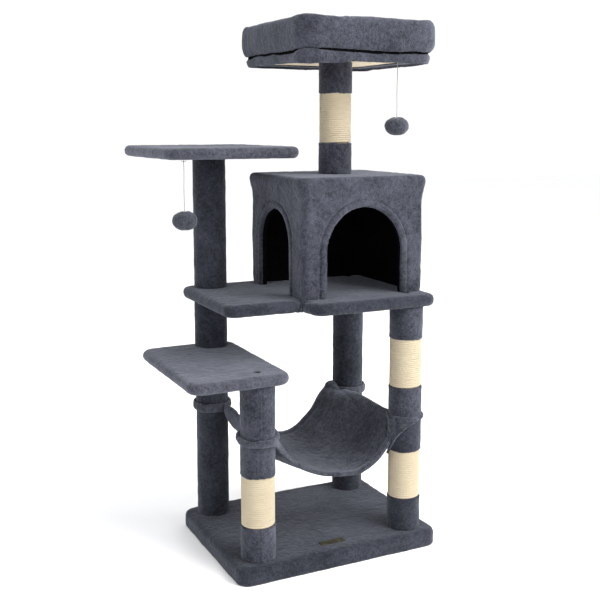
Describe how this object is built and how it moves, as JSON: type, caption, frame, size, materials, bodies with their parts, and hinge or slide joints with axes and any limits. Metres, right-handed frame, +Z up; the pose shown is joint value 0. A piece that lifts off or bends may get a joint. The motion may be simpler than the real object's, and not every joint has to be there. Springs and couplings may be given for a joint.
{
  "type": "cat tree",
  "caption": "Plush cat tree on stacked posts with sisal wraps, a step, an L-shaped platform with a two-door condo, a perch, a raised bed, a hammock and hanging ball toys.",
  "frame": {"origin": "centre of the base's underside, on the floor", "axes": "+X to the right along the front edge, +Y to the back, +Z up"},
  "size_m": [0.6677, 0.5575, 1.3235],
  "materials": {
    "plush": "short-pile plush, dark blue-grey",
    "sisal": "natural sisal rope, wound turn on turn",
    "cardboard": "brown spiral-wound cardboard tube",
    "board": "bare fibreboard",
    "steel": "zinc-plated",
    "plate": "dark bronze, blank",
    "cord": "thin white cord"
  },
  "bodies": {
    "stand": {"rear_left_lower_tube": "cardboard", "rear_left_lower_sleeve": "plush", "rear_left_middle_tube": "cardboard", "rear_left_middle_sleeve": "plush", "rear_left_upper_tube": "cardboard", "rear_left_upper_sleeve": "plush", "rear_left_top_tube": "cardboard", "rear_left_top_sleeve": "plush", "front_left_lower_tube": "cardboard", "front_left_lower_sleeve": "plush", "front_left_lower_rope": "sisal", "front_left_upper_tube": "cardboard", "front_left_upper_sleeve": "plush", "rear_right_lower_tube": "cardboard", "rear_right_lower_sleeve": "plush", "rear_right_upper_tube": "cardboard", "rear_right_upper_sleeve": "plush", "front_right_lower_tube": "cardboard", "front_right_lower_sleeve": "plush", "front_right_lower_rope": "sisal", "front_right_upper_tube": "cardboard", "front_right_upper_sleeve": "plush", "front_right_upper_rope": "sisal", "bed_post_tube": "cardboard", "bed_post_sleeve": "plush", "bed_post_rope": "sisal", "post_end_plugs": "board", "joining_studs": "steel", "base_bolts": "steel", "platform_bolts": "steel", "base_board": "board", "base_cover": "plush", "name_plate": "plate", "step_board": "board", "step_cover": "plush", "middle_board": "board", "middle_cover": "plush", "perch_board": "board", "perch_cover": "plush", "condo_front_wall": "board", "condo_back_wall": "board", "condo_left_wall": "board", "condo_right_wall": "board", "condo_roof_board": "board", "condo_cover": "plush", "condo_lining": "plush", "door_pipings": "plush", "bed_board": "board", "bed_skirt": "plush", "bed_bolster": "plush", "bed_pad": "plush", "hammock_sling": "plush", "hammock_loops": "plush", "toy_staples": "steel"},
    "bed_toy_loop": {"bed_toy_knot": "cord"},
    "bed_toy": {"bed_toy_cord": "cord", "bed_toy_ball": "plush"},
    "perch_toy_loop": {"perch_toy_knot": "cord"},
    "perch_toy": {"perch_toy_cord": "cord", "perch_toy_ball": "plush"}
  },
  "joints": [
    {"name": "bed_toy_swing_front_back", "type": "hinge", "parent": "stand", "child": "bed_toy_loop", "pos_m": [0.1955, -0.105, 1.225], "axis": [1, 0, 0], "range_deg": [-55, 20]},
    {"name": "bed_toy_swing_sideways", "type": "hinge", "parent": "bed_toy_loop", "child": "bed_toy", "pos_m": [0.1955, -0.105, 1.225], "axis": [0, 1, 0], "range_deg": [-55, 55]},
    {"name": "perch_toy_swing_front_back", "type": "hinge", "parent": "stand", "child": "perch_toy_loop", "pos_m": [-0.3285, -0.012, 0.988], "axis": [1, 0, 0], "range_deg": [-55, 55]},
    {"name": "perch_toy_swing_sideways", "type": "hinge", "parent": "perch_toy_loop", "child": "perch_toy", "pos_m": [-0.3285, -0.012, 0.988], "axis": [0, 1, 0], "range_deg": [-55, 55]}
  ]
}
